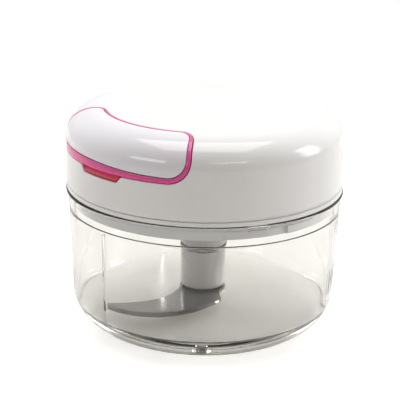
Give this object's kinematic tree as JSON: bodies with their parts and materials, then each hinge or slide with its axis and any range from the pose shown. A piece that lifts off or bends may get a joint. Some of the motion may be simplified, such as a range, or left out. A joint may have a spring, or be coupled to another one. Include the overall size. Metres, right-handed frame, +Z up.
{
  "type": "hand-pulled food chopper",
  "caption": "Hand-powered food processor: a clear bowl with a swept blade on a centre pin, under a white domed lid with a curved pull handle and cord reel.",
  "frame": {"origin": "centre of the bowl's foot, on the surface it stands on", "axes": "+Z up along the axis of the bowl, lid and blades; the front is -Y, and the pull handle is at the front left, 46 degrees from -Y towards -X"},
  "size_m": [0.1262, 0.1262, 0.1034],
  "materials": {
    "clear": "clear moulded styrene plastic, polished",
    "white": "glossy white moulded plastic",
    "cover": "glossy white plastic with a faint lavender tint",
    "pink": "glossy magenta pink moulded plastic",
    "natural": "natural acetal or nylon, satin",
    "seal": "translucent silicone",
    "cord": "braided white nylon cord",
    "steel": "polished stainless steel"
  },
  "bodies": {
    "bowl": {"bowl": "clear", "spindle_pin": "steel"},
    "gasket": {"lid_gasket": "seal"},
    "lid": {"lid_shell": "white", "lid_base": "white", "lid_screw_1": "steel", "lid_screw_2": "steel", "lid_screw_3": "steel", "drive_bushing": "natural", "drive_washer": "steel", "reel_axle": "steel", "axle_washer": "steel", "power_spring": "steel", "cord_lead": "cord", "cord_eyelet": "steel"},
    "handle": {"handle_grip": "pink", "handle_cover": "cover", "handle_screw_1": "steel", "handle_screw_2": "steel", "cord_end": "cord", "cord_anchor": "natural"},
    "reel": {"reel": "natural", "reel_cover": "natural", "cord_coil": "cord"},
    "drive": {"drive_hub": "natural"},
    "pawl_1": {"pawl_1": "steel"},
    "pawl_2": {"pawl_2": "steel"},
    "blades": {"blade_shaft": "natural", "hub_nut": "white", "blade_lower": "steel", "hub_spacer": "white", "blade_upper": "steel", "hub_upper": "white"}
  },
  "joints": [
    {"name": "lid_lift", "type": "slide", "parent": "bowl", "child": "gasket", "axis": [0, 0, 1], "range_m": [0, 0.12]},
    {"name": "lid_turn", "type": "hinge", "parent": "gasket", "child": "lid", "pos_m": [0, 0, 0.066], "axis": [0, 0, -1], "range_deg": [0, 22]},
    {"name": "handle_pull", "type": "slide", "parent": "lid", "child": "handle", "axis": [-0.7193, -0.6947, 0], "range_m": [0, 0.28], "stiffness_N_per_m": 8, "springref_m": -0.5},
    {"name": "reel_spin", "type": "hinge", "parent": "lid", "child": "reel", "pos_m": [0, 0, 0.085], "axis": [0, 0, 1], "range_deg": [0, 915]},
    {"name": "drive_spin", "type": "hinge", "parent": "lid", "child": "drive", "pos_m": [0, 0, 0.065], "axis": [0, 0, 1], "range_deg": [0, 915]},
    {"name": "blade_spin", "type": "hinge", "parent": "bowl", "child": "blades", "pos_m": [0, 0, 0.03], "axis": [0, 0, 1], "range_deg": [0, 915]},
    {"name": "pawl_1_swing", "type": "hinge", "parent": "reel", "child": "pawl_1", "pos_m": [0.0095, 0, 0.075], "axis": [0, 0, 1], "range_deg": [0, 12]},
    {"name": "pawl_2_swing", "type": "hinge", "parent": "reel", "child": "pawl_2", "pos_m": [-0.0095, 0, 0.075], "axis": [0, 0, 1], "range_deg": [0, 12]}
  ],
  "couplings": [
    {"joint": "reel_spin", "follows": "handle_pull", "rad_per_m": 56.818},
    {"joint": "drive_spin", "follows": "handle_pull", "rad_per_m": 56.818},
    {"joint": "blade_spin", "follows": "handle_pull", "rad_per_m": 56.818},
    {"joint": "pawl_2_swing", "follows": "pawl_1_swing", "ratio": 1}
  ]
}
